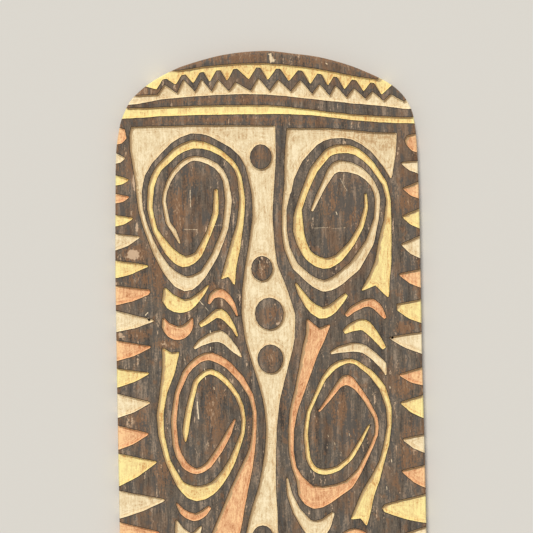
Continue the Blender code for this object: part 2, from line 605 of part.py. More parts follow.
def wood():
    """Dark stained hardwood."""
    material = bpy.data.materials.new("carved_wood")
    material.use_nodes = True
    shader = material.node_tree.nodes["Principled BSDF"]
    shader.inputs["Base Color"].default_value = WOOD_COLOUR
    shader.inputs["Roughness"].default_value = WOOD_ROUGHNESS
    shader.inputs["Metallic"].default_value = 0.0
    return material


def build():
    """Make the shield."""
    clear_scene()
    parts = new_collection("carved_shield")
    carving = new_collection("carving_cutters")
    islands = new_collection("disc_cutters")
    plank = make_plank(parts)
    plank.data.materials.append(wood())
    fields = {**header_fields(), **panel_fields(), **foot_fields(), **side_teeth()}
    for name, outline in fields.items():
        make_recess(name, outline, FIELD_DEPTH, carving)
    for name, outline in {**arm_strokes(), **accent_strokes()}.items():
        make_recess(name, outline, STROKE_DEPTH, carving)
    for number, disc in enumerate(spine_discs(), start=1):
        make_disc(number, disc, islands)
    cut_with(carving.objects["spine_and_left_panel"], islands, "leave_discs")
    for number, place in enumerate(SLING_HOLES, start=1):
        make_hole(number, place, carving)
    cut_with(plank, carving, "carve_face")


build()
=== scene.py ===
"""A carved and painted war shield, laid on its back on a pale floor.

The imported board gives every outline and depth. This file cuts the same recesses again as worn handwork,
rubs earth paint into them, and sets the shield in soft studio light.
"""
import math

import bmesh
import bpy
import numpy as np
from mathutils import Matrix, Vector, geometry, noise


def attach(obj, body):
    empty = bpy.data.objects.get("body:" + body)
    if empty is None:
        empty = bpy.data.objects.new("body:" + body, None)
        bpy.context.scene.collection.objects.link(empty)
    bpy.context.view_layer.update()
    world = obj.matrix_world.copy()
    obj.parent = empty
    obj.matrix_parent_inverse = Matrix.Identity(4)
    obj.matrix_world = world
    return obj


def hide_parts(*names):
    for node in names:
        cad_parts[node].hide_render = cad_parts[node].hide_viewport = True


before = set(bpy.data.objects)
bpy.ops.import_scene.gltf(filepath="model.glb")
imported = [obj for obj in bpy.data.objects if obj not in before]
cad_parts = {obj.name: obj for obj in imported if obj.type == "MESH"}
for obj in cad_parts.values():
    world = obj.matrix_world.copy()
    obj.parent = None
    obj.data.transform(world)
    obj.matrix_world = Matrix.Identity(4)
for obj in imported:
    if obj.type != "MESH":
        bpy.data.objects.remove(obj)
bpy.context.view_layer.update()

bl_info = {
    "name": "Carved War Shield",
    "version": (1, 0, 0),
    "blender": (4, 5, 0),
    "location": "3D View > Sidebar > Shield",
    "description": "Carves, paints and stages a long wooden war shield",
    "category": "Object",
}

BOARD_NODE = "carved_board"
BODY = "root"
MM = 0.001

# Lengths that aren't settings are in millimetres. Points this near to each other are one place, and a face
# whose normal points up or down this much is level.
SAME_PLACE = 0.01
LEVEL = 0.98

# Drilled holes: their radius, the longest border they have, the reach of their border from the middle, and
# how far on a recess's tip can lie that a hole cut off
DRILL_RADIUS = 1.5
DRILL_AROUND = 12.0
DRILL_BESIDE = 2.0
TIP_REACH = 10.0

# A recess within EDGE_GAP of the board's edge runs out over it by RUN_OUT: sideways between the two places
# down from the top, and fanned out beyond them. One within TOOTH_GAP that is narrower than TOOTH_WIDTH is a
# tooth.
EDGE_GAP = 2.3
RUN_OUT = 8.0
SIDEWAYS = (130, 1380)
TOOTH_GAP = 3.0
TOOTH_WIDTH = 90

# The board's edge: spacing of its points, how far it is hewn back, and how far it stays inside the solid
RIM_SPACING = 4.0
RIM_HEWN, RIM_HEWN_WAVE = 0.25, 0.2
BOX_MARGIN = 0.02

# How far the wood falls away at a worn lip, which fades over its reach, at a scratch and at a chip; and how
# far from a recess the distance to it is still told
LIP_DROP, LIP_REACH = 0.22, 1.3
SCAR_DEPTH, CHIP_DEPTH = 0.22, 1.3
CUT_REACH = 8.0

# Painted depth is the distance inside the painted edge, which lies this share up a recess's wall. Faces take
# the paint's material from a little outside it, so that its ragged edge has room. Down the board's side the
# depth shrinks by SIDE_LOSS a millimetre. A step away from the light, which comes from the upper left, finds
# the side of each recess that faces away from it, where the walls get painted shade.
PAINTED_WALL = 0.85
PAINT_BORDER = -1.2
UNPAINTED = -6.0
SIDE_LOSS = 0.42
STEP_AWAY_FROM_LIGHT = np.array((0.85, -0.55))

# What the materials read at each point, and its value on plain wood
PLAIN_WOOD = {"cut": UNPAINTED, "scar": 0.0, "wear": 0.3, "tint_and_rim_highlight": 0.0, "patch": 0.0, "side_away_from_light": 0.0}
# On the board's sides: wear, and the painted rim highlight on paint that runs over the edge
SIDE_WEAR, SIDE_TINT_AND_HIGHLIGHT = 0.8, 0.8

# Mesh points: the least distance between them, rings along each cut as walls and millimetres out from the
# foot of its wall, and rings inside the board's edge on the face and on the back
CLOSEST = 0.62
CUT_RINGS = ((0, 0.0), (1, 0.0), (1, 1.1), (0, -0.9), (1, 2.6))
FACE_RINGS = (0.5, 1.5, 3.0, 5.0, 7.5)
BACK_RINGS = (0.7, 2.0, 4.0, 7.0)
BACK_SPACING = 11
SIDE_ROWS = 6
SHARP_EDGE = math.radians(48)

# Tool marks: the size of their waves across and down the board, and the seed of their pattern; and the share
# of a cut's outline that short strokes of the knife leave straight
ADZE_WAVES, FINE_ADZE_WAVES = ((46, 110), 1.7), ((11, 38), 4.4)
GOUGE_WAVES = ((6, 9), 6.1)
RIM_WAVES = ((38, 38), 5.5)
BACK_FACETS, FINE_BACK_FACETS = ((24, 60), 9.3), ((9, 26), 2.9)
KNIFE_DRIFT, KNIFE_CATCHES = ((19, 27), 3.1), ((4.5, 7), 8.7)
KNIFE_SEED = 7
SCAR_SWAY = ((5, 5), 2.2)
FACETING = 0.7

# Camera, in metres: the width that it takes in, its height above the face, its place and its turn; and the
# tints of the two lights
VIEW_WIDTH, VIEW_DISTANCE = 0.746, 4.0
FACE_HEIGHT = 0.022
VIEW_PLACE = (-0.0025, 0.4476)
VIEW_TURN = math.radians(-1.05)
KEY_TINT, AIR_TINT = (1.0, 0.97, 0.92), (1.0, 0.98, 0.95, 1.0)

# A place inside each painted recess, as millimetres (across from the middle line, down from the top).
# The eyes and their crescents come again lower down the board, REPEAT millimetres on.
YELLOW_BANDS = ((4, 30), (0, 83), (0, 1413))
YELLOW_PLACES = ((-116, 294), (162.5, 268), (-106, 618.5), (144.3, 600), (-128, 356), (-69, 366.5),
                 (72.5, 369), (125, 386.5), (-127, 730), (112, 703))
ORANGE_PLACES = ((-73, 684), (67, 626), (-127.5, 394), (-69.5, 338), (131, 357.3), (-110, 651.8),
                 (-69, 738.5), (113, 676.5), (88, 787))
REPEAT = 683.0
UPPER_LEFT_TEETH = "OWYOYWYOWOYWOYWO"
UPPER_RIGHT_TEETH = "OWOYWOYWOYWOYW"
LOWER_TEETH = "YWO"
TOOTH_COLOURS = {"O": "orange_ochre", "W": "white_clay", "Y": "yellow_ochre"}
PAINTS = ("yellow_ochre", "orange_ochre", "white_clay")

# Scratches, nicks and knocks: from a place to a place, then the width
SCARS = (
    (-103, 489, -101.5, 515, 3.0), (-92, 443, -91.5, 448, 1.8), (-91, 455, -90.5, 460, 1.6),
    (-65, 444, -64, 448, 1.6), (-83, 390, -82.5, 395, 2.6), (-83, 413, -83, 419, 1.8),
    (-79.5, 469, -78.5, 474, 1.6), (-131, 584, -130, 589, 1.8), (-98, 348, -91, 355.5, 1.7),
    (-90, 357, -84, 364, 1.4), (-174, 368, -169, 363, 2.4), (-171, 371, -165, 374, 1.4),
    (102, 180, 113, 200, 1.2), (65, 250, 88, 249, 1.2), (90, 251, 110, 250, 1.0),
    (-118, 248, -98, 249, 1.3), (-84, 244, -62, 243, 1.1), (96, 227, 98, 232, 2.0),
    (139, 434, 140, 439, 1.6), (54, 588, 55, 593, 1.8), (88, 550, 89, 555, 1.6), (109, 537, 109, 542, 1.5),
    (79, 539, 80, 543, 1.5), (160, 613, 160.5, 618, 1.8), (167, 472, 167.5, 477, 1.7),
    (167, 575, 168, 580, 1.8), (86, 18.5, 88, 21.5, 2.4), (-104.5, 165, -104, 180, 0.8),
    (-107.5, 193, -107, 218, 1.5), (-98, 203, -97, 216, 0.7), (-12, 293, -11.5, 307, 1.4),
    (-6, 295, -6, 306, 1.0), (30, 1120, 60, 1128, 1.2), (-95, 1160, -94, 1185, 1.4),
    (-150, 860, -138, 866, 1.3), (95, 905, 96, 928, 1.4),
)

# Chips that show fresh wood at the crown: corners across and down
CHIPS = (
    ((6.9, 4.2), (9.3, 3.4), (10.2, 16), (8.6, 17.5), (6.8, 12)),
    ((11.4, 8.5), (12.8, 11.5), (12.6, 16), (11.4, 17)),
)

# Rubbed places, where the stain is worn to brown wood: across, down, reach across, reach down, strength
RUBBED = (
    (-150, 25, 50, 12, 0.6), (-40, 10, 60, 9, 0.7), (60, 16, 50, 9, 0.6), (150, 45, 40, 12, 0.6),
    (-165, 55, 22, 9, 1.0), (-192, 160, 14, 34, 0.6), (-190, 215, 16, 24, 0.3), (-186, 282, 20, 12, 1.0),
    (-183, 318, 18, 10, 0.8), (-155, 300, 10, 60, 0.7), (-142, 409, 18, 7, 1.0), (-186, 395, 18, 9, 0.8),
    (-188, 520, 16, 30, 0.7), (-155, 590, 14, 30, 0.6), (194, 215, 12, 26, 0.6), (190, 302, 14, 12, 0.2),
    (190, 392, 14, 10, 0.8), (186, 470, 15, 22, 0.8), (192, 560, 14, 40, 0.7), (-125, 225, 12, 36, 0.8),
    (-70, 262, 14, 20, 0.5), (-107, 170, 10, 22, 0.6), (88, 215, 14, 36, 0.6), (122, 240, 12, 26, 0.7),
    (100, 300, 30, 8, 0.4), (-82, 505, 12, 40, 0.8), (-68, 480, 9, 20, 0.5), (98, 505, 14, 28, 0.7),
    (116, 545, 12, 26, 0.5), (-118, 335, 16, 8, 0.5), (-118, 205, 8, 30, 0.4), (-78, 330, 8, 6, 0.9),
    (20, 250, 6, 60, 0.5), (20, 480, 6, 60, 0.4), (-30, 540, 6, 60, 0.5), (60, 540, 8, 40, 0.4),
    (-9, 304, 9, 12, 0.6), (0, 68, 200, 6, 0.62), (-60, 96, 130, 6, 0.65), (60, 103, 110, 5, 0.5),
    (0, 431, 14, 15, 0.7), (4, 372, 15, 15, 0.7), (-170, 55, 24, 8, 0.7), (-9, 310, 9, 9, 0.7),
    (-8, 148, 10, 12, 0.45), (0, 1470, 140, 16, 0.8), (-190, 1000, 14, 200, 0.6), (190, 1050, 14, 220, 0.6),
    (-100, 900, 16, 40, 0.7), (105, 900, 16, 40, 0.7), (-85, 1190, 16, 40, 0.7), (100, 1200, 16, 40, 0.6),
    (20, 1150, 8, 120, 0.5),
)

# Patches in the wood: across, down, reach across, reach down, amount. The stain has flaked off where the
# amount is above zero, and has built up dark where it is below.
PATCHES = (
    (-184.5, 243.3, 4.5, 10, 0.9), (-184, 281, 4, 6, 1.5), (-184.8, 176, 2.8, 19, 0.9),
    (-152.4, 409, 4.2, 3.2, 1.0), (-205.8, 395, 8, 5, 0.7), (-184.8, 431, 2.2, 10, 0.9),
    (-128.8, 203.5, 4.2, 6, 0.8), (-122, 222, 7, 2.4, 0.6), (-87.6, 247, 4.2, 5.6, 0.6),
    (-212, 321.7, 6, 4.2, 0.9), (177.2, 240.6, 2.8, 21, 0.6), (-190, 283, 8, 5, 2.2), (199, 252, 3, 7, -1.0),
    (-190.4, 53, 16, 8.4, -0.6), (186, 63.6, 10, 10.5, -0.6), (10.8, 12, 0.8, 7, -2.4), (5.2, 11, 1.4, 8, -1.5),
    (108, 215, 26, 40, -0.35), (105, 522, 22, 40, -0.35), (-9, 297, 1.3, 12, 1.5), (-14, 297, 1.2, 10, 1.5),
    (11, 382, 5, 4, 1.3), (193, 318, 16, 18, -0.5),
)

# Where the paint lies thicker and cleaner, or thinner and soiled: across, down, reach across, reach down, amount
TINTS = (
    (0, 84, 215, 9, 0.9), (-160, 130, 12, 12, -0.4), (150, 125, 60, 20, -1.1), (-60, 112, 40, 10, -0.5),
    (-175, 35, 25, 14, 0.4), (20, 1000, 40, 60, -0.4),
)


def linear(code):
    """An sRGB hex colour as the linear colour that the shaders work in."""
    shares = [int(code[place:place + 2], 16) / 255 for place in (1, 3, 5)]
    return (*(share / 12.92 if share <= 0.04045 else ((share + 0.055) / 1.055) ** 2.4 for share in shares), 1.0)


def swatch(code, name, description):
    """The setting of a colour, from the hex code of its default."""
    return bpy.props.FloatVectorProperty(
        name=name, description=description, default=linear(code), size=4, min=0, max=1, subtype="COLOR")


class ShieldCarving(bpy.types.PropertyGroup):
    """Sizes of the handwork on the face, rim and back."""
    wall: bpy.props.FloatProperty(
        name="Wall Width", description="How far a recess wall leans, seen from above",
        default=1.25 * MM, min=0.3 * MM, max=4 * MM, unit="LENGTH", subtype="DISTANCE")
    wander: bpy.props.FloatProperty(
        name="Knife Wander", description="How far the knife strays from its line",
        default=0.42 * MM, min=0, max=1.5 * MM, unit="LENGTH", subtype="DISTANCE")
    hewing: bpy.props.FloatProperty(
        name="Hewn Waves", description="Depth of the adze waves across the face",
        default=0.55 * MM, min=0, max=2 * MM, unit="LENGTH", subtype="DISTANCE")
    gouging: bpy.props.FloatProperty(
        name="Gouge Marks", description="Depth of the tool marks in the floors of the recesses",
        default=0.30 * MM, min=0, max=1 * MM, unit="LENGTH", subtype="DISTANCE")
    rim: bpy.props.FloatProperty(
        name="Rim Rounding", description="Radius of the board's worn edge",
        default=5 * MM, min=1 * MM, max=8 * MM, unit="LENGTH", subtype="DISTANCE")
    point_spacing: bpy.props.FloatProperty(
        name="Point Spacing", description="Distance between mesh points along the cuts",
        default=2.35 * MM, min=1.5 * MM, max=6 * MM, unit="LENGTH", subtype="DISTANCE")
    open_spacing: bpy.props.FloatProperty(
        name="Open Spacing", description="Distance between mesh points on open wood",
        default=6.4 * MM, min=3 * MM, max=20 * MM, unit="LENGTH", subtype="DISTANCE")


class ShieldColours(bpy.types.PropertyGroup):
    """Colours of the wood, the earth paints and the stage."""
    soot: swatch("#3D342C", "Soot", "Soot left in pores, corners and along the cuts")
    # Painted shade: this dark colour lines the wood along every painted edge, standing in for the shadow at each
    # cut's lip.
    edge: swatch("#3A2A1E", "Cut Edge", "Scorched and sooty line where a cut meets the raised wood")
    stained: swatch("#655A4D", "Stained Wood", "Hardwood darkened with soot")
    dusty: swatch("#998774", "Dusty Wood", "Stained fibres greyed by dust and dry handling")
    worn: swatch("#866142", "Worn Wood", "Hardwood where the soot is rubbed away")
    slate: swatch("#524E49", "Sooty Flakes", "Flakes of stained wood where the soot lies thick and bluish")
    # Painted shade as well as bare wood: this tan takes the place of most of the paint on the walls that face away
    # from the light.
    wall: swatch("#B99C74", "Wall Wood", "Wood of a cut's wall, tinted by the paint that ran down it")
    bared: swatch("#D6B796", "Bared Wood", "Pinkish wood where the stain has flaked off")
    fresh: swatch("#F3DDB8", "Fresh Wood", "Pale wood inside chips and scratches")
    # The thick colours also give the painted highlights: along the inside of each painted edge, and on the paint
    # near the board's rim.
    yellow_light: swatch("#FFF0A6", "Yellow Ochre, Thick", "Yellow earth paint where it lies thick and clean")
    yellow: swatch("#F3D896", "Yellow Ochre", "Yellow earth paint")
    yellow_deep: swatch("#D2A062", "Yellow Ochre, Thin", "Yellow earth paint where it is thin and soiled")
    orange_light: swatch("#FFD29C", "Orange Ochre, Thick", "Burnt yellow earth paint where it lies thick and clean")
    orange: swatch("#E7B081", "Orange Ochre", "Burnt yellow earth paint")
    orange_deep: swatch("#BE8054", "Orange Ochre, Thin", "Burnt yellow earth paint where it is thin and soiled")
    white_light: swatch("#FDECC6", "White Clay, Thick", "Creamy clay paint where it lies thick and clean")
    white: swatch("#EAD4AA", "White Clay", "Creamy clay paint")
    white_deep: swatch("#CBA97C", "White Clay, Thin", "Creamy clay paint where it is thin and soiled")
    floor: swatch("#D9D7D2", "Floor", "Plain studio floor")
    key_strength: bpy.props.FloatProperty(
        name="Key Light", description="Strength of the soft light above the crown, in watts a square metre",
        default=2.35, min=0)
    air_strength: bpy.props.FloatProperty(
        name="Room Light", description="Strength of the even light from all round",
        default=0.46, min=0)


def read_board(node):
    """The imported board's outline and recesses, in millimetres.

    A recess is the flat floor that lies below the face: its depth, and loops with the floor on their left.
    """
    shape = bmesh.new()
    shape.from_mesh(node.data)
    shape.transform(node.matrix_world)
    bmesh.ops.remove_doubles(shape, verts=shape.verts, dist=SAME_PLACE * MM / 10)
    shape.normal_update()
    shape.faces.index_update()
    face_height = max(vert.co.z for vert in shape.verts)
    widest = max(vert.co.x for vert in shape.verts)
    side_bottom = min(vert.co.z for vert in shape.verts if vert.co.x > widest - SAME_PLACE * MM)
    ring = [vert.co for vert in shape.verts if abs(vert.co.z - side_bottom) < SAME_PLACE * MM]
    outline = np.array([(co.x, co.y) for co in sorted(ring, key=lambda co: math.atan2(co.y, co.x))]) / MM
    floors = {face for face in shape.faces
              if face.normal.z > LEVEL and face_height / 2 < face.calc_center_median().z < face_height - MM}
    recesses = []
    while floors:
        patch = {min(floors, key=lambda face: face.index)}
        floors -= patch
        edge_of_search = list(patch)
        while edge_of_search:
            for edge in edge_of_search.pop().edges:
                for face in edge.link_faces:
                    if face in floors:
                        floors.remove(face)
                        patch.add(face)
                        edge_of_search.append(face)
        depth = face_height - max(face.calc_center_median().z for face in patch)
        recesses.append({"depth": depth / MM, "loops": border_loops(patch)})
    under = {face for face in shape.faces if face.normal.z < -LEVEL}
    drilled = [loop.mean(axis=0) for loop in border_loops(under) if loop_length(loop) < DRILL_AROUND]
    shape.free()
    return {"outline": outline, "height": face_height / MM, "side_bottom": side_bottom / MM,
            "recesses": recesses, "drilled": drilled}


def border_loops(patch):
    """The closed borders of a patch of faces, in millimetres, with the patch on their left."""
    onward = {}
    for face in sorted(patch, key=lambda face: face.index):
        for corner in face.loops:
            if not any(other in patch for other in corner.edge.link_faces if other is not face):
                onward.setdefault(corner.vert, []).append(corner.link_loop_next.vert)
    loops = []
    while onward:
        start = next(iter(onward))
        loop = [start]
        while True:
            following = onward[loop[-1]].pop()
            if not onward[loop[-1]]:
                del onward[loop[-1]]
            if following is start:
                break
            loop.append(following)
        loops.append(np.array([(vert.co.x, vert.co.y) for vert in loop]) / MM)
    return loops


def undrilled(loop, hole):
    """A recess outline with its own tip back where a drilled hole cut it off."""
    beside = np.linalg.norm(loop - hole, axis=1) < DRILL_BESIDE
    if not beside.any():
        return loop
    first = int(np.where(beside & ~np.roll(beside, 1))[0][0])
    loop = np.roll(loop, -first, axis=0)
    loop = loop[~np.roll(beside, -first)]
    before, corner, after, beyond = loop[-2], loop[-1], loop[0], loop[1]
    heading, back = corner - before, after - beyond
    reach = np.cross(after - corner, back) / np.cross(heading, back)
    tip = corner + heading * min(max(reach, 0), TIP_REACH / np.linalg.norm(heading))
    return np.concatenate([loop, tip[None, :]])


def loop_length(loop):
    """The length of a closed loop."""
    return float(np.linalg.norm(np.roll(loop, -1, axis=0) - loop, axis=1).sum())


def eased(loop, spacing, facet=0.0, closest=0.5, corner=math.radians(42)):
    """A closed loop redrawn as a smooth line through its points, with real corners kept sharp.

    Facet is the share that is left straight between the points, as short knife cuts leave it.
    """
    kept = [loop[0]]
    for point in loop[1:]:
        if np.linalg.norm(point - kept[-1]) > closest:
            kept.append(point)
    if len(kept) > 3 and np.linalg.norm(kept[0] - kept[-1]) < closest:
        kept.pop()
    points = np.array(kept)
    ahead = np.roll(points, -1, axis=0) - points
    run = np.linalg.norm(ahead, axis=1)
    behind = np.roll(ahead, 1, axis=0)
    run_behind = np.roll(run, 1)
    turn = np.arctan2(behind[:, 0] * ahead[:, 1] - behind[:, 1] * ahead[:, 0], (behind * ahead).sum(axis=1))
    flow = (ahead + behind) / (run + run_behind)[:, None]
    sharp = np.abs(turn) > corner
    leave = np.where(sharp[:, None], ahead / run[:, None], flow)
    arrive = np.where(sharp[:, None], behind / run_behind[:, None], flow)
    drawn = []
    for index in range(len(points)):
        after = (index + 1) % len(points)
        steps = max(1, math.ceil(run[index] / spacing))
        t = (np.arange(steps) / steps)[:, None]
        at_end = 3 * t ** 2 - 2 * t ** 3
        drawn.append((1 - at_end) * points[index] + at_end * points[after]
                     + (t ** 3 - 2 * t ** 2 + t) * run[index] * leave[index]
                     + (t ** 3 - t ** 2) * run[index] * arrive[after])
        drawn[-1] = (1 - facet) * drawn[-1] + facet * ((1 - t) * points[index] + t * points[after])
    return np.concatenate(drawn)


def outward(loop):
    """The direction away from the floor at each point of a loop."""
    along = np.roll(loop, -1, axis=0) - np.roll(loop, 1, axis=0)
    along /= np.maximum(np.linalg.norm(along, axis=1), 1e-9)[:, None]
    return np.stack([along[:, 1], -along[:, 0]], axis=1)


def depth_inside(points, loops, reach, block=1500):
    """How far each point is inside the loops: positive inside, negative outside, both within reach."""
    starts = np.concatenate(loops)
    ends = np.concatenate([np.roll(loop, -1, axis=0) for loop in loops])
    found = np.full(len(points), -float(reach))
    low, high = starts.min(axis=0) - reach, starts.max(axis=0) + reach
    near = np.where(((points > low) & (points < high)).all(axis=1))[0]
    near = near[np.argsort(points[near, 1])]
    for first in range(0, len(near), block):
        chosen = near[first:first + block]
        place = points[chosen][:, None, :]
        lowest, highest = place[0, 0, 1] - reach, place[-1, 0, 1] + reach
        beside = ((np.minimum(starts[:, 1], ends[:, 1]) <= highest)
                  & (np.maximum(starts[:, 1], ends[:, 1]) >= lowest))
        start, end = starts[beside], ends[beside]
        if len(start) == 0:
            continue
        span = end - start
        gap = place - start
        share = np.clip((gap * span).sum(axis=2) / np.maximum((span ** 2).sum(axis=1), 1e-12), 0, 1)
        nearest = np.sqrt(((gap - share[..., None] * span) ** 2).sum(axis=2).min(axis=1))
        crossed = (start[:, 1] > place[..., 1]) != (end[:, 1] > place[..., 1])
        slope = span[:, 0] / np.where(span[:, 1] == 0, 1e-12, span[:, 1])
        right_of = place[..., 0] < start[:, 0] + slope * (place[..., 1] - start[:, 1])
        inside = (crossed & right_of).sum(axis=1) % 2 == 1
        found[chosen] = np.clip(np.where(inside, nearest, -nearest), -reach, reach)
    return found


def waves(points, size, seed):
    """Smooth noise between -1 and 1 at places in millimetres, for waves of a size across and down."""
    return np.array([noise.noise(Vector((x / size[0], y / size[1], seed))) for x, y in points])


def strayed(points, reach):
    """The points moved a little, as a knife strays: slow drift, and short catches in the grain."""
    moved = []
    for x, y in points:
        drift, catch = (noise.noise_vector(Vector((x / size[0], y / size[1], seed)))
                        for size, seed in (KNIFE_DRIFT, KNIFE_CATCHES))
        moved.append((x + reach * (drift.x + 0.45 * catch.x), y + reach * (drift.y + 0.45 * catch.y)))
    return np.array(moved)


def placed(listed, top):
    """Places listed as across and down from the top, as places on the board."""
    return np.array([(across, top - down) for across, down in listed])


def away_from(points, place, top):
    """How far the points are from a listed place, squared, where its reach across and down counts as one."""
    across, down, reach_across, reach_down = place
    return ((points[:, 0] - across) / reach_across) ** 2 + ((points[:, 1] - top + down) / reach_down) ** 2


def nearest_points(places, wanted):
    """Which of the places is nearest to each wanted one."""
    return [((places - place) ** 2).sum(axis=1).argmin() for place in wanted]


def rounding(inset, radius):
    """How far a rounded edge falls away at a distance in from it."""
    fall = radius - np.sqrt(np.maximum(radius ** 2 - (radius - np.minimum(inset, radius)) ** 2, 0))
    return np.where(inset < SAME_PLACE, radius, fall)


def paint_of(recess, outline, top):
    """The paint of one recess by the places listed above, or None for a tooth at the board's edge."""
    places = [(name, (across, down + shift))
              for name, listed in (("yellow_ochre", YELLOW_PLACES), ("orange_ochre", ORANGE_PLACES))
              for across, down in listed for shift in (0, REPEAT)]
    places += [("yellow_ochre", place) for place in YELLOW_BANDS]
    inside = depth_inside(placed([place for name, place in places], top), recess["loops"], 3.0)
    for (name, place), depth in zip(places, inside):
        if depth > 0:
            return name
    outer = max(recess["loops"], key=loop_length)
    at_edge = depth_inside(outer, [outline], 2 * TOOTH_GAP).min() < TOOTH_GAP
    return None if at_edge and np.ptp(outer[:, 0]) < TOOTH_WIDTH else "white_clay"


def colour_teeth(recesses):
    """Give the side teeth their paints, in order down each edge."""
    for sign, upper in ((-1, UPPER_LEFT_TEETH), (1, UPPER_RIGHT_TEETH)):
        teeth = [recess for recess in recesses if recess["paint"] is None and recess["middle"][0] * sign > 0]
        teeth.sort(key=lambda recess: -recess["middle"][1])
        for number, recess in enumerate(teeth):
            letter = (upper + LOWER_TEETH * len(teeth))[number]
            recess["paint"] = TOOTH_COLOURS[letter]


def prepare(board, sizes):
    """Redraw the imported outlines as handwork, run the edge recesses out over the rim, and find the paints."""
    # Noise vectors start from the clock unless they are given a seed, and the board has to come out the same.
    noise.seed_set(KNIFE_SEED)
    outline = board["outline"]
    top = board["top"] = outline[:, 1].max()
    for recess in board["recesses"]:
        recess["paint"] = paint_of(recess, outline, top)
        recess["middle"] = np.concatenate(recess["loops"]).mean(axis=0)
        loops = []
        for loop in recess["loops"]:
            for hole in board["drilled"]:
                loop = undrilled(loop, hole)
            gap = depth_inside(loop, [outline], 2 * EDGE_GAP)
            middle = np.array((0.0, np.clip(loop[:, 1].mean(), top - SIDEWAYS[1], top - SIDEWAYS[0])))
            away = loop - middle
            away /= np.linalg.norm(away, axis=1)[:, None]
            loop = loop + np.where(gap < EDGE_GAP, RUN_OUT, 0.0)[:, None] * away
            loops.append(strayed(eased(loop, sizes.point_spacing / MM, FACETING), sizes.wander / MM))
        recess["loops"] = loops
    colour_teeth(board["recesses"])
    rim = eased(outline, RIM_SPACING)
    hewn = RIM_HEWN + RIM_HEWN_WAVE * waves(rim, *RIM_WAVES)
    low, high = outline.min(axis=0), outline.max(axis=0)
    board["rim"] = np.clip(rim - outward(rim) * hewn[:, None], low + BOX_MARGIN, high - BOX_MARGIN)
    return board


class Points:
    """Points for a mesh, kept only where they aren't crowded."""

    def __init__(self, closest):
        self.closest = closest
        self.cells = {}
        self.places = []

    def near(self, place, reach):
        """Whether a kept point lies within reach of a place."""
        column, row = int(place[0] // self.closest), int(place[1] // self.closest)
        span = math.ceil(reach / self.closest)
        for i in range(column - span, column + span + 1):
            for j in range(row - span, row + span + 1):
                for x, y in self.cells.get((i, j), ()):
                    if (x - place[0]) ** 2 + (y - place[1]) ** 2 < reach * reach:
                        return True
        return False

    def add(self, places, reach=None):
        """Keep the places that aren't within reach of a kept point."""
        for x, y in places:
            if not self.near((x, y), reach or self.closest):
                self.cells.setdefault((int(x // self.closest), int(y // self.closest)), []).append((x, y))
                self.places.append((x, y))


def circle(middle, radius, sides):
    """Points round a circle."""
    angles = np.arange(sides) * 2 * math.pi / sides
    return np.stack([middle[0] + radius * np.cos(angles), middle[1] + radius * np.sin(angles)], axis=1)


def scar_rows(scar, top):
    """The middle row and the two side rows of points of a scratch."""
    x0, down0, x1, down1, width = scar
    start, end = np.array((x0, top - down0)), np.array((x1, top - down1))
    length = np.linalg.norm(end - start)
    steps = max(2, math.ceil(length / 1.1))
    t = (np.arange(steps + 1) / steps)[:, None]
    row = start + t * (end - start)
    side = np.array((-(end - start)[1], (end - start)[0])) / length
    sway = 0.35 * waves(row, *SCAR_SWAY)[:, None] * side
    return row + sway, row + sway + side * width / 2, row + sway - side * width / 2


def face_points(board, sizes, holes):
    """Where the face's mesh has points besides the rim and the holes.

    They lie on scars and chips, in rings along every recess wall and inside the rim, and on open wood.
    """
    wall, step = sizes.wall / MM, sizes.open_spacing / MM
    rim = board["rim"]
    kept = Points(CLOSEST)
    for loop in (rim, *holes):
        kept.add(loop, 0.1)
    fixed = len(kept.places)
    for scar in SCARS:
        for row in scar_rows(scar, board["top"]):
            kept.add(row, 0.35 * scar[4])
    for chip in CHIPS:
        for shift in (-0.5, 0.5):
            kept.add(shifted_corners(placed(chip, board["top"]), shift, 1.2), 0.4)
    for ring in CUT_RINGS:
        shift = ring[0] * wall + ring[1]
        for recess in board["recesses"]:
            for loop in recess["loops"]:
                row = loop + outward(loop) * shift
                inset = depth_inside(row, [rim], 3.0)
                true_shift = -depth_inside(row, recess["loops"], 4.0)
                row = row[(inset > 0.8) & (np.abs(true_shift - shift) < 0.35)]
                kept.add(row[::2] if ring is CUT_RINGS[-1] else row)
    for inset in FACE_RINGS:
        kept.add(rim - outward(rim) * inset, 0.9)
    low, high = rim.min(axis=0), rim.max(axis=0)
    grid = np.array([(x, y) for j, y in enumerate(np.arange(low[1], high[1], step * 0.87))
                     for x in np.arange(low[0] + (j % 2) * step / 2, high[0], step)])
    kept.add(grid[depth_inside(grid, [rim], 20.0) > 8], step * 0.45)
    return np.array(kept.places[fixed:])


def shifted_corners(corners, shift, spacing):
    """A small closed shape grown by a shift, with points along its sides."""
    middle = corners.mean(axis=0)
    away = corners - middle
    grown = corners + away / np.linalg.norm(away, axis=1)[:, None] * shift
    row = []
    for start, end in zip(grown, np.roll(grown, -1, axis=0)):
        steps = max(1, math.ceil(np.linalg.norm(end - start) / spacing))
        row += [start + (end - start) * step / steps for step in range(steps)]
    return np.array(row)


def triangles(points, border, holes):
    """Triangles between the points, inside a closed border and outside the holes."""
    places = np.concatenate([border, *holes, points])
    edges = []
    first = 0
    for loop in (border, *holes):
        count = len(loop)
        edges += [(first + index, first + (index + 1) % count) for index in range(count)]
        first += count
    coords = [Vector((float(x), float(y))) for x, y in places]
    verts, _, faces, *_ = geometry.delaunay_2d_cdt(coords, edges, [], 0, 1e-5, False)
    verts = np.array([(vert.x, vert.y) for vert in verts])
    faces = np.array(faces)
    middles = verts[faces].mean(axis=1)
    keep = depth_inside(middles, [border], 1.0) > 0
    for hole in holes:
        keep &= depth_inside(middles, [hole], 1.0) < 0
    return verts, faces[keep]


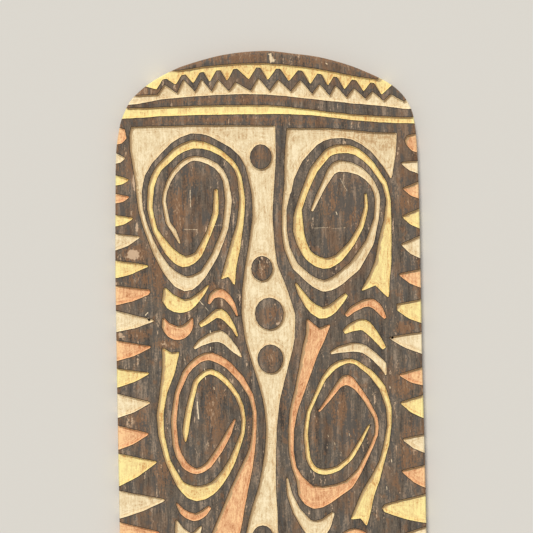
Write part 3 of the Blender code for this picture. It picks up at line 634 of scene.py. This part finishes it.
def cuts_at(verts, board, wall):
    """What the recesses do at each point: how far it sinks, its painted depth, its paint, and how far it lies on
    the side of a recess away from the light, which sets the painted shade on the walls.
    """
    sink, side_away_from_light = np.zeros(len(verts)), np.zeros(len(verts))
    cut, paint = np.full(len(verts), UNPAINTED), np.zeros(len(verts), int)
    for recess in board["recesses"]:
        inside = depth_inside(verts, recess["loops"], CUT_REACH)
        share = np.clip(-inside / wall, 0, 1)
        lip = LIP_DROP * np.exp(-np.maximum(-inside - wall, 0) / LIP_REACH) * (inside > 0.1 - CUT_REACH)
        sink = np.maximum(sink, recess["depth"] * (1 - share ** 2 * (3 - 2 * share)) + lip * (share >= 1))
        here = inside + PAINTED_WALL * wall
        nearer = here > cut
        cut = np.where(nearer, here, cut)
        paint = np.where(nearer, PAINTS.index(recess["paint"]), paint)
        at_wall = np.where(nearer & (np.abs(inside) < 5))[0]
        ahead = depth_inside(verts[at_wall] + STEP_AWAY_FROM_LIGHT, recess["loops"], CUT_REACH)
        behind = depth_inside(verts[at_wall] - STEP_AWAY_FROM_LIGHT, recess["loops"], CUT_REACH)
        side_away_from_light[at_wall] = (ahead - behind) / (2 * np.linalg.norm(STEP_AWAY_FROM_LIGHT))
    return sink, cut, paint, side_away_from_light


def face_relief(verts, board, sizes):
    """The height and the paint of each point of the face, and what the materials read there."""
    top = board["top"]
    sink, cut, paint, side_away_from_light = cuts_at(verts, board, sizes.wall / MM)
    scar, chip, wear, patch = np.zeros((4, len(verts)))
    inset = depth_inside(verts, [board["rim"]], 12.0).clip(0)
    radius = sizes.rim / MM
    drop = (sink ** 3 + rounding(inset, radius) ** 3) ** (1 / 3)
    drop = np.where(inset < SAME_PLACE, radius, drop)
    wave = (0.5 + 0.5 * waves(verts, *ADZE_WAVES)) * sizes.hewing / MM
    wave += (0.5 + 0.5 * waves(verts, *FINE_ADZE_WAVES)) * 0.22 * sizes.hewing / MM
    gouges = (0.5 + 0.5 * waves(verts, *GOUGE_WAVES)) * sizes.gouging / MM
    height = board["height"] - drop - (wave + gouges * np.clip(cut - 0.4, 0, 1)) * np.clip(inset / 6, 0, 1)
    for listed in SCARS:
        _, left, right = scar_rows(listed, top)
        inside = depth_inside(verts, [np.concatenate([left, right[::-1]])], 2.0)
        scar = np.maximum(scar, np.clip(inside / (listed[4] * 0.3), 0, 1) * min(1, listed[4] / 2))
    height -= SCAR_DEPTH * scar
    for listed in CHIPS:
        inside = depth_inside(verts, [placed(listed, top)], 2.0)
        chip = np.maximum(chip, np.clip(inside / 0.5 + 0.5, 0, 1))
    height -= CHIP_DEPTH * chip
    for *place, strength in RUBBED:
        wear = np.maximum(wear, strength * np.exp(-away_from(verts, place, top) * 0.9))
    for *place, amount in PATCHES:
        patch += amount * np.exp(-away_from(verts, place, top) ** 2)
    # Painted highlight: the paint is made lighter on the rounded rim, where it catches the light, and a little
    # lighter over the first few centimetres in from the edge; the listed tints are added to it.
    tint_and_rim_highlight = np.exp(-inset / 20) + 0.8 * np.exp(-inset / 3.5)
    for *place, amount in TINTS:
        tint_and_rim_highlight += amount * np.exp(-away_from(verts, place, top))
    return {"height": np.minimum(height, board["height"]), "cut": cut, "paint": paint, "tint_and_rim_highlight": tint_and_rim_highlight,
            "patch": patch, "side_away_from_light": side_away_from_light, "scar": np.maximum(scar, chip),
            "wear": np.maximum(wear, 0.9 * np.exp(-inset / 4))}


def back_relief(board, holes):
    """Points, triangles and heights of the back: flat, with a rounded edge and shallow adze facets."""
    rim = board["rim"]
    kept = Points(1.0)
    for inset in BACK_RINGS:
        kept.add(rim - outward(rim) * inset, 1.6)
    low, high = rim.min(axis=0), rim.max(axis=0)
    grid = np.array([(x, y) for y in np.arange(low[1], high[1], BACK_SPACING)
                     for x in np.arange(low[0], high[0], BACK_SPACING)])
    kept.add(grid[depth_inside(grid, [rim], 20.0) > BACK_SPACING], 2.5)
    verts, parts = triangles(np.array(kept.places), rim, holes)
    inset = depth_inside(verts, [rim], 12.0).clip(0)
    facets = 0.45 * np.abs(waves(verts, *BACK_FACETS)) + 0.15 * np.abs(waves(verts, *FINE_BACK_FACETS))
    height = rounding(inset, board["side_bottom"]) + facets * np.clip(inset / 8, 0, 1)
    return verts, parts[:, ::-1], np.maximum(height, 0)


def add_points(shape, places, heights, values):
    """New points of the mesh, with the values that the materials read there."""
    made = [shape.verts.new((x * MM, y * MM, z * MM)) for (x, y), z in zip(places, heights)]
    for name, plain in PLAIN_WOOD.items():
        layer = shape.verts.layers.float[name]
        for vert, value in zip(made, np.broadcast_to(values.get(name, plain), len(made))):
            vert[layer] = float(value)
    return made


def add_face(shape, corners, look=0, smooth=True):
    """A new face of the mesh, with the number of its material."""
    face = shape.faces.new(corners)
    face.material_index, face.smooth = look, smooth


def look_of(corners, cut, paint, loss=0.0):
    """The material's number for a face: the paint of its deepest corner, or 0 for wood outside the paint."""
    deepest = max(corners, key=lambda corner: cut[corner])
    return int(paint[deepest]) + 1 if cut[deepest] - loss > PAINT_BORDER else 0


def make_board(board, sizes):
    """The whole board as one closed mesh: carved face, hewn sides and back, and two drilled holes."""
    rim = board["rim"]
    holes = [circle(middle, DRILL_RADIUS, 12)[::-1] for middle in board["drilled"]]
    face, parts = triangles(face_points(board, sizes, holes), rim, holes)
    relief = face_relief(face, board, sizes)
    back, back_parts, back_heights = back_relief(board, holes)
    shape = bmesh.new()
    for name in PLAIN_WOOD:
        shape.verts.layers.float.new(name)
    made = add_points(shape, face, relief["height"], relief)
    for part in parts:
        add_face(shape, [made[corner] for corner in part], look_of(part, relief["cut"], relief["paint"]))
    made = add_points(shape, back, back_heights, {})
    for part in back_parts:
        add_face(shape, [made[corner] for corner in part], len(PAINTS) + 1)
    beside = nearest_points(face, rim)
    add_sides(shape, board, sizes, {name: relief[name][beside] for name in ("cut", "paint")})
    for hole in holes:
        upper = add_points(shape, hole, relief["height"][nearest_points(face, hole)], {"wear": 0.0})
        lower = add_points(shape, hole, back_heights[nearest_points(back, hole)], {"wear": 0.0})
        for index in range(len(hole)):
            add_face(shape, (upper[index - 1], lower[index - 1], lower[index], upper[index]), smooth=False)
    bmesh.ops.remove_doubles(shape, verts=shape.verts, dist=0.004 * MM)
    bmesh.ops.recalc_face_normals(shape, faces=shape.faces)
    for edge in shape.edges:
        if len(edge.link_faces) == 2 and edge.calc_face_angle() > SHARP_EDGE:
            edge.smooth = False
    mesh = bpy.data.meshes.new("shield_board")
    shape.to_mesh(mesh)
    shape.free()
    return mesh


def add_sides(shape, board, sizes, at_rim):
    """The board's hewn sides, where the paint of the teeth runs on a little way down."""
    rim = board["rim"]
    side_top = board["height"] - sizes.rim / MM
    heights = np.linspace(side_top, board["side_bottom"], SIDE_ROWS)
    rows = []
    for height in heights:
        hewn = 0.2 + 0.2 * waves(rim, (16, 16), height)
        if height in (heights[0], heights[-1]):
            hewn = np.zeros(len(rim))
        values = {"cut": at_rim["cut"] - SIDE_LOSS * (side_top - height), "wear": SIDE_WEAR, "tint_and_rim_highlight": SIDE_TINT_AND_HIGHLIGHT}
        rows.append(add_points(shape, rim - outward(rim) * hewn[:, None], np.full(len(rim), height), values))
    for height, upper, lower in zip(heights, rows, rows[1:]):
        for index in range(len(rim)):
            look = look_of((index - 1, index), **at_rim, loss=SIDE_LOSS * (side_top - height))
            add_face(shape, (upper[index - 1], lower[index - 1], lower[index], upper[index]), look)


def add(tree, kind, inputs=None, **settings):
    """Add one node with its settings. A value fills an input; a node or a socket is linked to it."""
    node = tree.nodes.new(kind)
    for name, value in settings.items():
        setattr(node, name, value)
    for name, value in (inputs or {}).items():
        if isinstance(value, bpy.types.Node):
            value = next(output for output in value.outputs if output.enabled)
        if isinstance(value, bpy.types.NodeSocket):
            tree.links.new(value, node.inputs[name])
        else:
            node.inputs[name].default_value = value
    return node


def marks(tree, size, seed, detail=3.0, roughness=0.55, line=0.0):
    """Cloudy marks of a real size in millimetres: across, along and through the board.

    With a line width, they are drawn out into lines along the edges of the cuts, as a gouge leaves them.
    """
    place = add(tree, "ShaderNodeTexCoord")
    scaled = add(tree, "ShaderNodeMapping", {"Vector": place.outputs["Object"],
                                             "Scale": tuple(1 / (length * MM) for length in size)})
    cut = add(tree, "ShaderNodeAttribute", attribute_name="cut")
    lines = add(tree, "ShaderNodeMath", {0: cut.outputs["Fac"], 1: 1 / line if line else 0.0, 2: seed},
                operation="MULTIPLY_ADD")
    return add(tree, "ShaderNodeTexNoise", {"Vector": scaled, "W": lines, "Scale": 1.0, "Detail": detail,
                                            "Roughness": roughness}, noise_dimensions="4D")


def blend(tree, first, second, share):
    """Two patterns joined into one by their shares."""
    scaled = add(tree, "ShaderNodeMath", {0: first, 1: share}, operation="MULTIPLY")
    return add(tree, "ShaderNodeMath", {0: second, 1: 1 - share, 2: scaled}, operation="MULTIPLY_ADD")


def coats(tree, colour, *layers):
    """Colours laid one over another.

    Each layer has its colour, a pattern, the pattern's values where the layer begins and where it is full, which
    may also fall, and the most that it covers.
    """
    for over, pattern, low, high, most in layers:
        share = add(tree, "ShaderNodeMapRange", {"Value": pattern, "From Min": low, "From Max": high,
                                                 "To Min": 0.0, "To Max": most}, interpolation_type="SMOOTHSTEP")
        colour = add(tree, "ShaderNodeMix", {0: share, 6: colour, 7: over}, data_type="RGBA")
    return colour


def wood_look(tree, colours):
    """Soot-stained hardwood: streaks along the grain, rubbed brown by hands and use, with pale flecks and scars."""
    cut, scar, wear, patch = (add(tree, "ShaderNodeAttribute", attribute_name=name).outputs["Fac"]
                              for name in ("cut", "scar", "wear", "patch"))
    # Wood fibres are finer than a pixel, so they are drawn as bundles 1.5 mm wide.
    fibre = marks(tree, (1.5, 18, 18), 1.0, 4.0, 0.65)
    streak = marks(tree, (8, 70, 70), 4.0, 3.0, 0.5)
    blotch = marks(tree, (40, 60, 60), 9.0, 3.0, 0.55)
    fleck = marks(tree, (2.0, 6.5, 6.5), 15.0, 2.0, 0.6)
    pore = marks(tree, (1.7, 2.6, 2.6), 18.0, 2.0, 0.6)
    flake = marks(tree, (5.5, 30, 30), 40.0, 2.0, 0.5)
    smudge = marks(tree, (13, 22, 22), 50.0, 3.0, 0.6)
    grain = blend(tree, fibre, pore, 0.6)
    tone = blend(tree, grain, streak, 0.55)
    rubbed = add(tree, "ShaderNodeMath", {0: blend(tree, fibre, pore, 0.5), 1: 3.0, 2: wear},
                 operation="MULTIPLY_ADD")
    lifted = add(tree, "ShaderNodeMath", {0: patch, 1: 0.22, 2: blend(tree, flake, pore, 0.7)},
                 operation="MULTIPLY_ADD")
    bared = add(tree, "ShaderNodeMath", {0: fleck, 1: 3.4, 2: wear}, operation="MULTIPLY_ADD")
    painted_lip_shade = add(tree, "ShaderNodeMath", {0: pore, 1: 1.2, 2: cut}, operation="MULTIPLY_ADD")
    broken = add(tree, "ShaderNodeMath", {0: scar, 1: 0.9, 2: pore}, operation="MULTIPLY_ADD")
    colour = coats(
        tree, colours.soot,
        (colours.stained, tone, 0.40, 0.50, 1.0),
        (colours.dusty, tone, 0.50, 0.60, 1.0),
        (colours.worn, blotch, 0.48, 0.66, 0.45),
        (colours.worn, rubbed, 1.70, 2.15, 0.85),
        (colours.slate, smudge, 0.45, 0.37, 0.6),
        (colours.worn, smudge, 0.56, 0.63, 0.55),
        (colours.slate, lifted, 0.445, 0.415, 0.75),
        (colours.bared, lifted, 0.6, 0.69, 0.85),
        (colours.bared, bared, 2.5, 3.0, 0.4),
        (colours.soot, fleck, 0.36, 0.27, 0.8),
        # Painted shade: the wood just outside every painted edge is darkened to the cut-edge colour.
        (colours.edge, painted_lip_shade, -1.0, -0.4, 0.92),
        (colours.fresh, broken, 0.68, 1.15, 0.95),
    )
    return colour, grain, cut, scar


def new_material(name):
    """A material with its nodes on."""
    material = bpy.data.materials.new(name)
    material.use_nodes = True
    return material


def finish_look(tree, colour, relief, roughness, height):
    """Join a look to its shader, with the relief as bump of a real height."""
    shader = tree.nodes["Principled BSDF"]
    bump = add(tree, "ShaderNodeBump", {"Height": relief, "Strength": 1.0, "Distance": height})
    tree.links.new(colour.outputs[2], shader.inputs["Base Color"])
    tree.links.new(bump.outputs["Normal"], shader.inputs["Normal"])
    for name, value in (("Roughness", roughness), ("Metallic", 0.0), ("IOR", 1.45)):
        shader.inputs[name].default_value = value


def stained_hardwood(colours):
    """Adzed hardwood, smoked and rubbed with soot: dark, dull, with a slight shine where it is handled."""
    material = new_material("soot_stained_hardwood")
    colour, grain, _, _ = wood_look(material.node_tree, colours)
    finish_look(material.node_tree, colour, grain, 0.66, 0.5 * MM)
    return material


def earth_paint(paint, colours):
    """Ground earth in water and sap, brushed into the cuts by hand: chalky, streaked, thin on the lips, with a
    painted highlight just inside its edges and painted shade on the walls that face away from the light.
    """
    material = new_material(paint + "_paint")
    tree = material.node_tree
    light, body, deep = (getattr(colours, paint.split("_")[0] + end) for end in ("_light", "", "_deep"))
    wood, grain, cut, scar = wood_look(tree, colours)
    tint_and_rim_highlight, side_away_from_light = (add(tree, "ShaderNodeAttribute", attribute_name=name).outputs["Fac"]
                  for name in ("tint_and_rim_highlight", "side_away_from_light"))
    brushed = marks(tree, (2.6, 15, 15), 21.0, 4.0, 0.62)
    gouged = marks(tree, (16, 16, 16), 27.0, 3.0, 0.6, 1.3)
    # Grains of pigment are far below a pixel, so they are drawn 1.8 mm across.
    grit = marks(tree, (1.8, 2.8, 2.8), 33.0, 3.0, 0.7)
    tone = blend(tree, blend(tree, brushed, gouged, 0.5), grit, 0.7)
    # Painted highlight and tints: the paint is lighter at the rim highlight, and thicker or thinner where the
    # listed tints lie.
    tone = add(tree, "ShaderNodeMath", {0: tint_and_rim_highlight, 1: 0.07, 2: tone}, operation="MULTIPLY_ADD")
    # A broad field takes a little more paint in its middle than a narrow stroke does.
    tone = add(tree, "ShaderNodeMath", {0: cut, 1: 0.004, 2: tone}, operation="MULTIPLY_ADD")
    # Painted shade and bare wood: the walls that face away from the light, which comes from the upper left, get
    # little paint and the darker wall colour in its place.
    away_from_light_share = add(tree, "ShaderNodeMath", {0: side_away_from_light, 1: 4.0, 2: -0.8}, operation="MULTIPLY_ADD")
    bare_and_shaded_wall = add(tree, "ShaderNodeMath", {0: away_from_light_share, 1: blend(tree, cut, grit, 0.55)}, operation="SUBTRACT")
    ragged = add(tree, "ShaderNodeMath", {0: grit, 1: cut}, operation="ADD")
    colour = coats(
        tree, deep,
        (body, tone, 0.46, 0.55, 1.0),
        (light, tone, 0.55, 0.64, 1.0),
        (colours.worn, tone, 0.44, 0.35, 0.7),
        # Painted highlight: the paint is lightened in a band just inside its edge, where the lip catches the light.
        (light, cut, 1.1, 0.0, 0.6),
        (colours.wall, bare_and_shaded_wall, -0.1, 0.45, 0.88),
        (colours.fresh, scar, 0.0, 1.0, 0.8),
    )
    colour = coats(tree, wood, (colour, ragged, 0.1, 0.35, 1.0))
    relief = blend(tree, grain, blend(tree, gouged, grit, 0.6), 0.35)
    finish_look(tree, colour, relief, 0.92, 0.7 * MM)
    return material


def hewn_back(colours):
    """The same hardwood left plain behind: adze facets, browner, darkened by smoke and handling."""
    material = new_material("hewn_hardwood_back")
    tree = material.node_tree
    fibre = marks(tree, (1.6, 60, 60), 2.0, 4.0, 0.6)
    smoke = marks(tree, (80, 160, 160), 6.0, 3.0, 0.55)
    colour = coats(tree, colours.soot, (colours.worn, fibre, 0.30, 0.70, 0.9),
                   (colours.stained, smoke, 0.40, 0.62, 0.7))
    finish_look(tree, colour, fibre, 0.74, 0.5 * MM)
    return material


class SHIELD_OT_carve_board(bpy.types.Operator):
    """Carve and paint the board in place of the plain solid"""
    bl_idname = "shield.carve_board"
    bl_label = "Carve the Board"
    bl_options = {"REGISTER", "UNDO"}

    def execute(self, context):
        sizes, colours = context.scene.shield_carving, context.scene.shield_colours
        board = prepare(read_board(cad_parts[BOARD_NODE]), sizes)
        mesh = make_board(board, sizes)
        paints = [earth_paint(paint, colours) for paint in PAINTS]
        for material in (stained_hardwood(colours), *paints, hewn_back(colours)):
            mesh.materials.append(material)
        shield = bpy.data.objects.new("shield_board", mesh)
        context.scene.collection.objects.link(shield)
        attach(shield, BODY)
        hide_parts(BOARD_NODE)
        return {"FINISHED"}


class SHIELD_OT_set_stage(bpy.types.Operator):
    """Lay a pale floor, light it softly and look straight down on the carved face"""
    bl_idname = "shield.set_stage"
    bl_label = "Set the Stage"
    bl_options = {"REGISTER", "UNDO"}

    def execute(self, context):
        colours = context.scene.shield_colours
        # Matt backdrop paper: even and pale, with no gloss
        material = new_material("matte_studio_floor")
        shader = material.node_tree.nodes["Principled BSDF"]
        shader.inputs["Base Color"].default_value = colours.floor
        shader.inputs["Roughness"].default_value = 0.9
        bpy.ops.mesh.primitive_plane_add(size=14, location=(0, 0, -0.3 * MM))
        floor = context.object
        floor.name = "studio_floor"
        floor.data.materials.append(material)

        data = bpy.data.lights.new("key_light", "SUN")
        data.angle = math.radians(14)
        data.energy = colours.key_strength
        data.color = KEY_TINT
        lamp = bpy.data.objects.new("key_light", data)
        context.scene.collection.objects.link(lamp)
        lamp.location = (-0.4, 1.7, 2.0)
        lamp.rotation_mode = "QUATERNION"
        lamp.rotation_quaternion = (-lamp.location).to_track_quat("-Z", "Y")
        world = bpy.data.worlds.new("studio_air")
        context.scene.world = world
        world.use_nodes = True
        air = world.node_tree.nodes["Background"]
        air.inputs["Color"].default_value = AIR_TINT
        air.inputs["Strength"].default_value = colours.air_strength
        context.scene.view_settings.view_transform = "Standard"

        data = bpy.data.cameras.new("camera")
        data.sensor_width = 36.0
        data.lens = data.sensor_width * VIEW_DISTANCE / VIEW_WIDTH
        camera = bpy.data.objects.new("camera", data)
        context.scene.collection.objects.link(camera)
        camera.location = (*VIEW_PLACE, FACE_HEIGHT + VIEW_DISTANCE)
        camera.rotation_mode = "XYZ"
        camera.rotation_euler = (0, 0, VIEW_TURN)
        data.clip_start, data.clip_end = 0.05, 50
        context.scene.camera = camera
        return {"FINISHED"}


class SHIELD_PT_panel(bpy.types.Panel):
    """Sizes, colours and steps of the shield"""
    bl_idname = "SHIELD_PT_panel"
    bl_label = "Carved War Shield"
    bl_space_type = "VIEW_3D"
    bl_region_type = "UI"
    bl_category = "Shield"

    def draw(self, context):
        for group in (context.scene.shield_carving, context.scene.shield_colours):
            box = self.layout.box()
            for name in group.__annotations__:
                box.prop(group, name)
        for step in STEPS:
            self.layout.operator(step.bl_idname)


STEPS = (SHIELD_OT_carve_board, SHIELD_OT_set_stage)
CLASSES = (ShieldCarving, ShieldColours, *STEPS, SHIELD_PT_panel)


def register():
    """Make the shield's settings, steps and panel known."""
    for item in CLASSES:
        bpy.utils.register_class(item)
    bpy.types.Scene.shield_carving = bpy.props.PointerProperty(type=ShieldCarving)
    bpy.types.Scene.shield_colours = bpy.props.PointerProperty(type=ShieldColours)


def unregister():
    """Take them away again."""
    del bpy.types.Scene.shield_colours
    del bpy.types.Scene.shield_carving
    for item in reversed(CLASSES):
        bpy.utils.unregister_class(item)


def main():
    """Run every step in order."""
    register()
    bpy.ops.shield.carve_board()
    bpy.ops.shield.set_stage()


if __name__ == "__main__":
    main()
